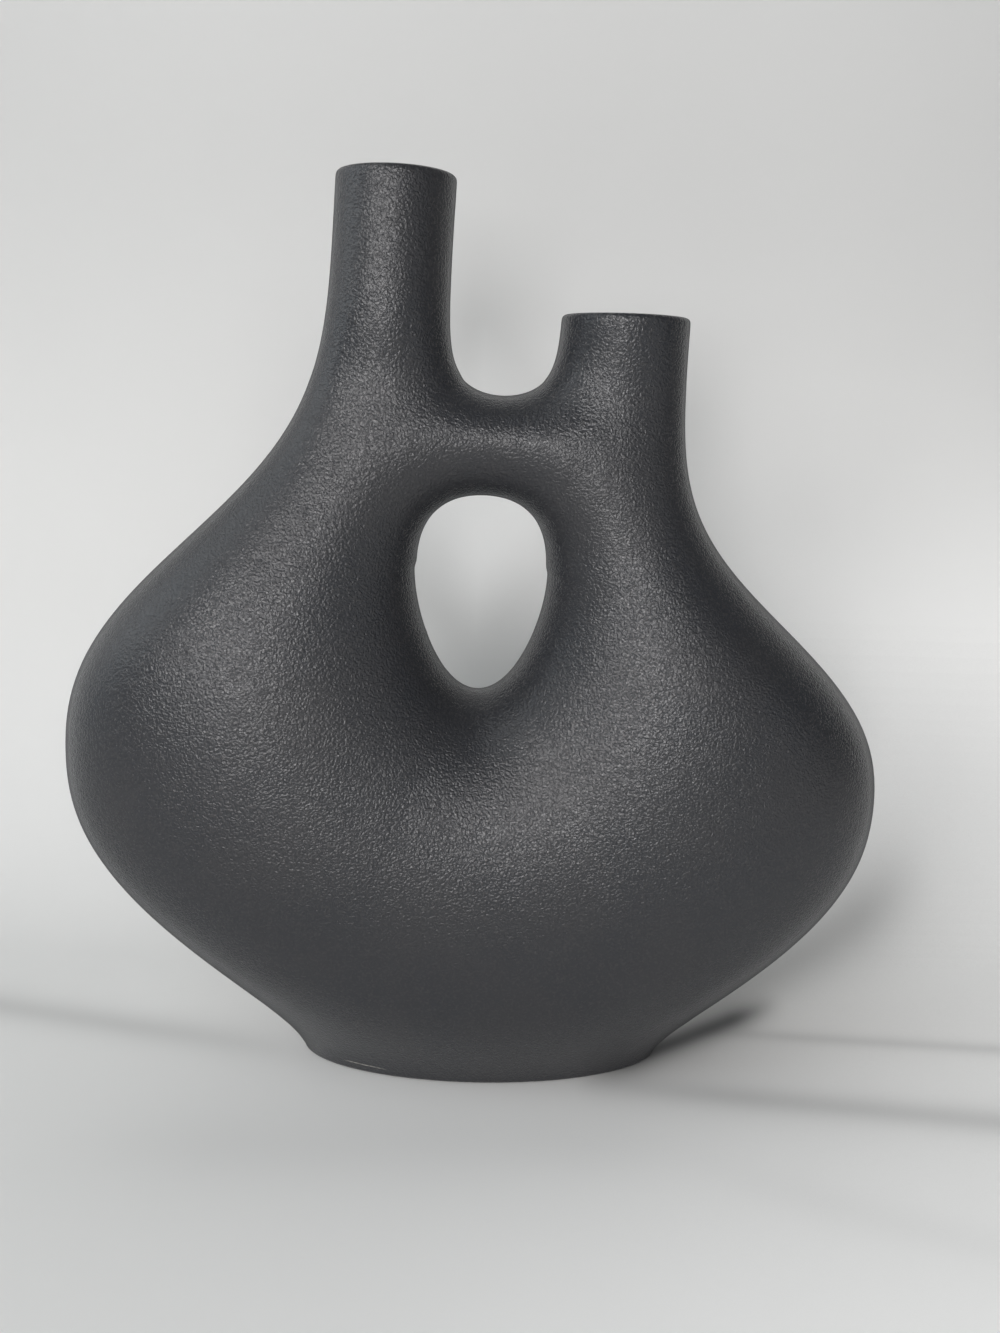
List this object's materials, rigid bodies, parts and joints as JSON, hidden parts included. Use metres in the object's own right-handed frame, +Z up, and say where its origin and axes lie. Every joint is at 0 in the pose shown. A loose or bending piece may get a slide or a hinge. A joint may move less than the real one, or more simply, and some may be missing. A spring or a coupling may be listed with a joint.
{
  "type": "twin-necked vase",
  "caption": "Hollow ceramic vase on an oval foot, with a wide flattened body, an egg-shaped opening through it, and a tall and a short neck joined by a bridge.",
  "frame": {"origin": "middle of the body's width and depth, on the floor under the foot", "axes": "+Z up, -Y towards the front, -X towards the tall neck"},
  "size_m": [0.278, 0.0842, 0.298],
  "materials": {
    "glaze": "matt, finely pebbled, dark grey"
  },
  "bodies": {
    "root": {"vase_body": "glaze"}
  },
  "joints": []
}
